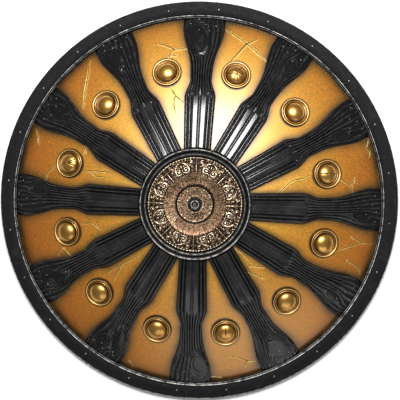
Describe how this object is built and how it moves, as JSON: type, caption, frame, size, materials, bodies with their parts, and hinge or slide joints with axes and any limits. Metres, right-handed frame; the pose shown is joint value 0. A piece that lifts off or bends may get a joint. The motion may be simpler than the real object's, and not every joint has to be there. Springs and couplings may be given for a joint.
{
  "type": "round shield",
  "caption": "Round wooden shield with a gold-painted dished board, carved black spokes, gilt domed studs, a cast scroll medallion and a black iron rim.",
  "frame": {"origin": "middle of the shield's underside, level with the flat back of its rim", "axes": "+Z out of the carved front, +Y along the first spoke, +X along the grip behind it"},
  "size_m": [0.61, 0.61, 0.0871],
  "materials": {
    "gold_paint": "gold paint over wood, browned towards the edges and crazed",
    "black_lacquer": "satin black lacquer on carved wood",
    "blackened_iron": "blackened sheet iron, satin",
    "gilt_brass": "antique gold, polished on the domes",
    "copper_bronze": "rubbed copper bronze with dark recesses",
    "ash_wood": "oiled ash"
  },
  "bodies": {
    "root": {"board": "gold_paint", "rim": "blackened_iron", "collar": "black_lacquer", "medallion": "copper_bronze", "centre_bolt": "blackened_iron", "spoke_01": "black_lacquer", "spoke_02": "black_lacquer", "spoke_03": "black_lacquer", "spoke_04": "black_lacquer", "spoke_05": "black_lacquer", "spoke_06": "black_lacquer", "spoke_07": "black_lacquer", "spoke_08": "black_lacquer", "spoke_09": "black_lacquer", "spoke_10": "black_lacquer", "spoke_11": "black_lacquer", "spoke_12": "black_lacquer", "stud_01": "gilt_brass", "stud_02": "gilt_brass", "stud_03": "gilt_brass", "stud_04": "gilt_brass", "stud_05": "gilt_brass", "stud_06": "gilt_brass", "stud_07": "gilt_brass", "stud_08": "gilt_brass", "stud_09": "gilt_brass", "stud_10": "gilt_brass", "stud_11": "gilt_brass", "stud_12": "gilt_brass", "grip": "ash_wood"}
  },
  "joints": []
}
